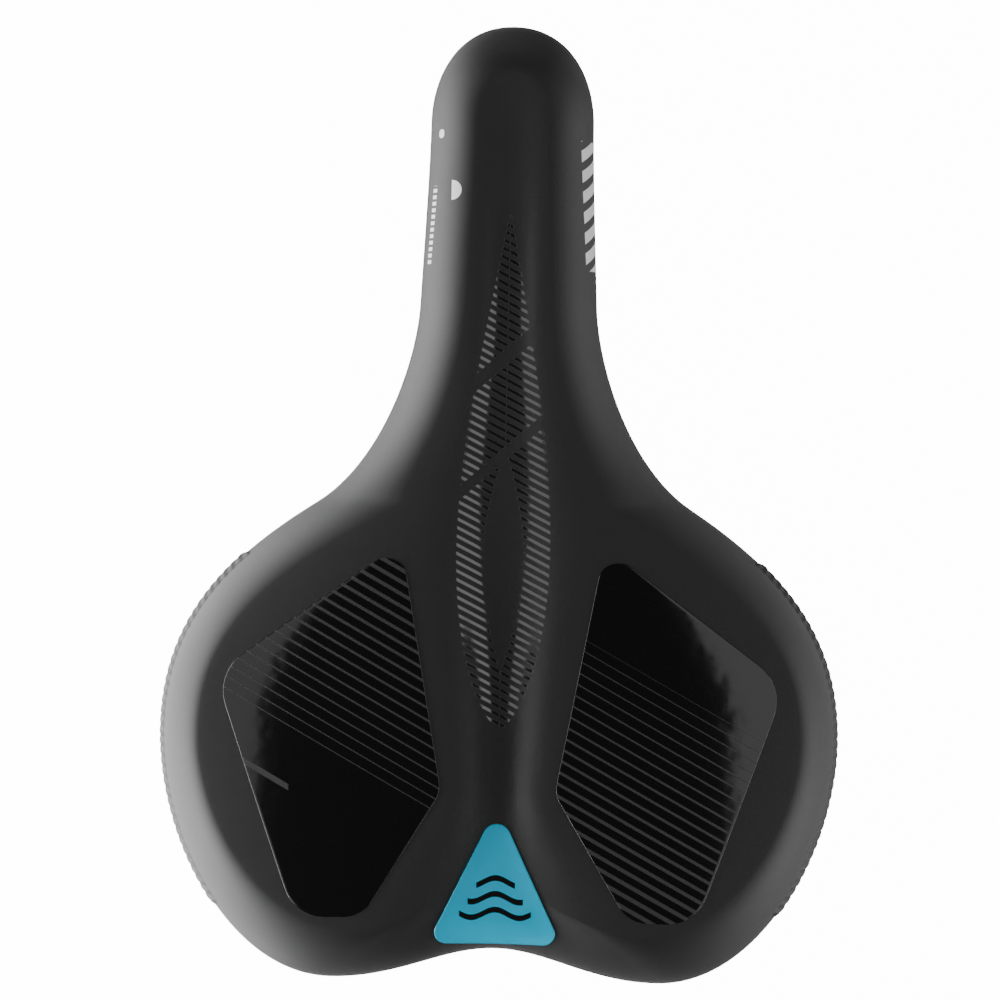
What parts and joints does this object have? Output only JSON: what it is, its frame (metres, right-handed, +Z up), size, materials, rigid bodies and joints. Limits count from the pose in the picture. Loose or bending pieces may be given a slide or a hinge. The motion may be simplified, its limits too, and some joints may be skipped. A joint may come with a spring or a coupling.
{
  "type": "bicycle saddle",
  "caption": "Comfort bicycle saddle with sit-pad windows and a centre channel, on a wire rail frame with rear elastomers.",
  "frame": {"origin": "midway between the two rails, at the middle of their straight clamp length, at the height of the rail axes", "axes": "+X to the rider's right, +Y towards the nose, +Z up"},
  "size_m": [0.2, 0.28, 0.0807],
  "materials": {
    "cover": "matte soft-touch synthetic leather",
    "film": "gloss film with fine matte stripes",
    "badge": "domed gloss resin",
    "guard": "ribbed matte elastomer",
    "foam": "open-cell polyurethane foam",
    "memory": "soft viscoelastic foam",
    "shell": "fine moulded texture",
    "bridge": "glass-filled nylon",
    "rail": "satin black powder coat on steel wire",
    "elastomer": "matte rubber",
    "cup": "moulded nylon",
    "bracket": "black painted steel",
    "steel": "zinc plated",
    "brass": "knurled brass"
  },
  "bodies": {
    "rail_frame": {"rail_wire": "rail", "rear_bridge": "bridge", "elastomer_left": "elastomer", "elastomer_right": "elastomer"},
    "seat": {"cover": "cover", "side_guard_left": "guard", "side_guard_right": "guard", "gloss_film_left": "film", "gloss_film_right": "film", "badge": "badge", "foam_pad": "foam", "memory_pad_left": "memory", "memory_pad_right": "memory", "base_shell": "shell", "cover_staples": "steel", "nose_bracket": "bracket", "nose_clamp_plate": "bracket", "nose_screws": "steel", "nose_inserts": "brass", "elastomer_cup_left": "cup", "elastomer_cup_right": "cup", "cup_screws": "steel", "bolt_inserts": "brass", "suspension_bolt_left": "steel", "suspension_bolt_right": "steel", "bolt_washers": "steel"}
  },
  "joints": [
    {"name": "suspension", "type": "hinge", "parent": "rail_frame", "child": "seat", "pos_m": [0, 0.116, 0.033], "axis": [1, 0, 0], "range_deg": [0, 1.6], "stiffness_Nm_per_rad": 2600, "deforming": ["elastomer_left", "elastomer_right"]}
  ]
}
